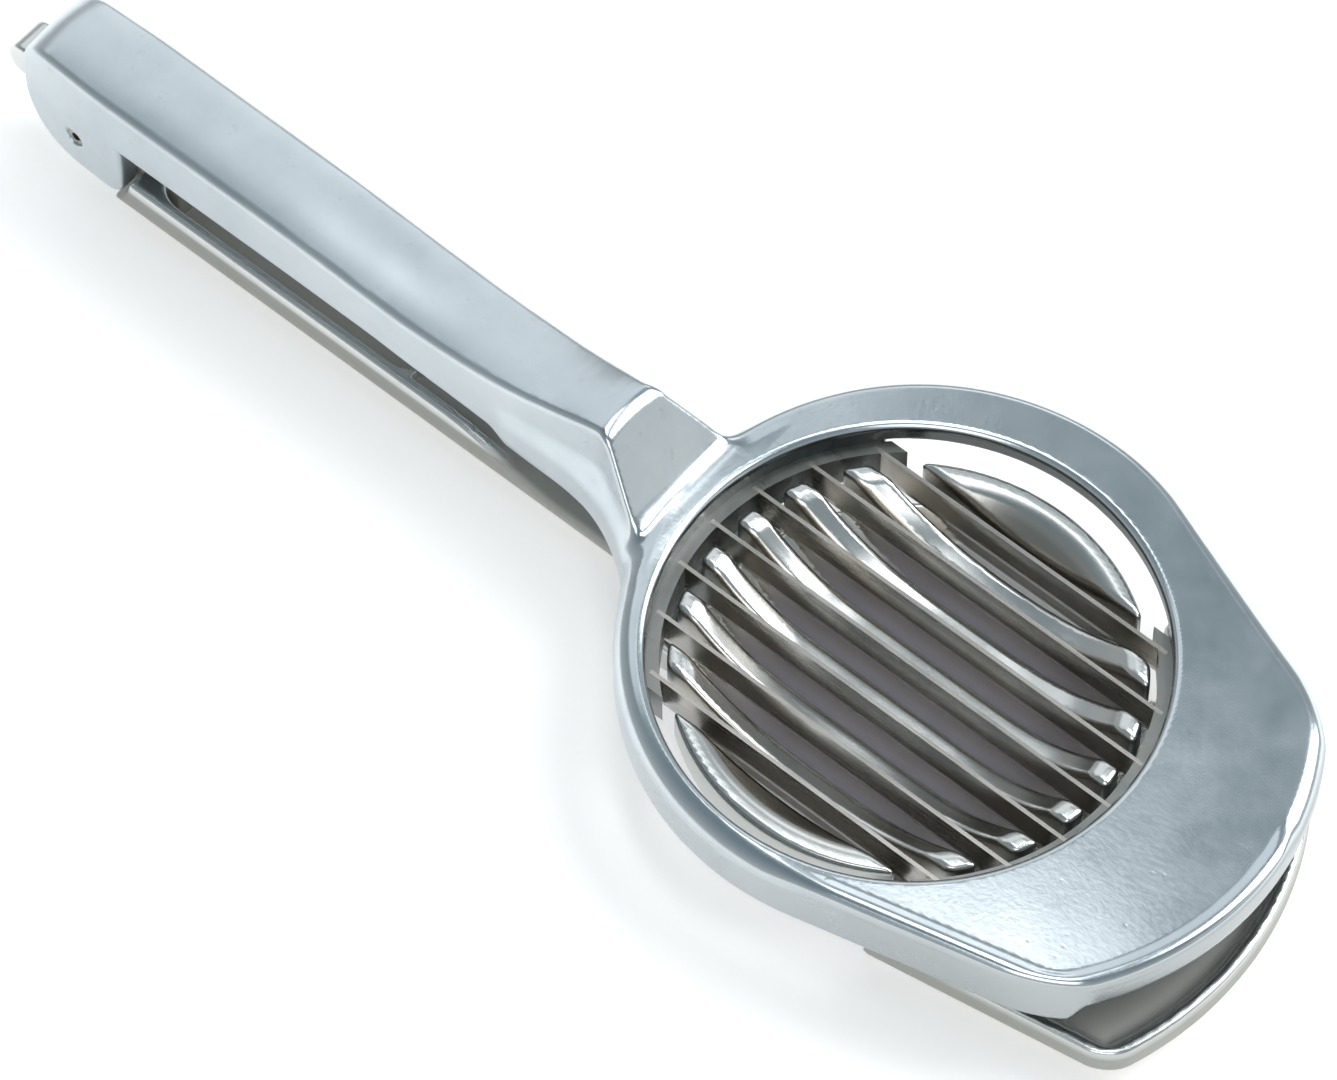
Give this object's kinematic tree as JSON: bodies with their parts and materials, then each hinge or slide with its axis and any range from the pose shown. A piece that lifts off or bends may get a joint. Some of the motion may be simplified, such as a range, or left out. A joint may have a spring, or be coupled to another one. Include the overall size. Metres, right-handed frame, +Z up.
{
  "type": "egg slicer",
  "caption": "Hand-held egg slicer of two cast arms hinged at the handle's end, with blades across a round opening over a slotted dish",
  "frame": {"origin": "centre of the bounding box's bottom face, on the table", "axes": "+X along the tool toward the tip, +Z up from the table"},
  "size_m": [0.1896, 0.0752, 0.0263],
  "materials": {
    "lower_cradle": "cast, tumbled to a satin shine with small pits",
    "upper_frame": "cast, tumbled to a satin shine with small pits",
    "blade_seat_back": "plain bright steel strip",
    "blade_seat_tip": "plain bright steel strip",
    "blade_1": "plain bright steel strip",
    "blade_2": "plain bright steel strip",
    "blade_3": "plain bright steel strip",
    "blade_4": "plain bright steel strip",
    "blade_5": "plain bright steel strip",
    "blade_6": "plain bright steel strip",
    "blade_7": "plain bright steel strip",
    "hinge_pin": "bright rolled steel"
  },
  "bodies": {
    "lower_arm": {"lower_cradle": "lower_cradle"},
    "upper_arm": {"upper_frame": "upper_frame", "blade_seat_back": "blade_seat_back", "blade_seat_tip": "blade_seat_tip", "blade_1": "blade_1", "blade_2": "blade_2", "blade_3": "blade_3", "blade_4": "blade_4", "blade_5": "blade_5", "blade_6": "blade_6", "blade_7": "blade_7", "hinge_pin": "hinge_pin"}
  },
  "joints": [
    {"name": "arm_hinge", "type": "hinge", "parent": "lower_arm", "child": "upper_arm", "pos_m": [-0.0811, 0, 0.01], "axis": [0, -1, 0], "range_deg": [-0.6, 25]}
  ]
}
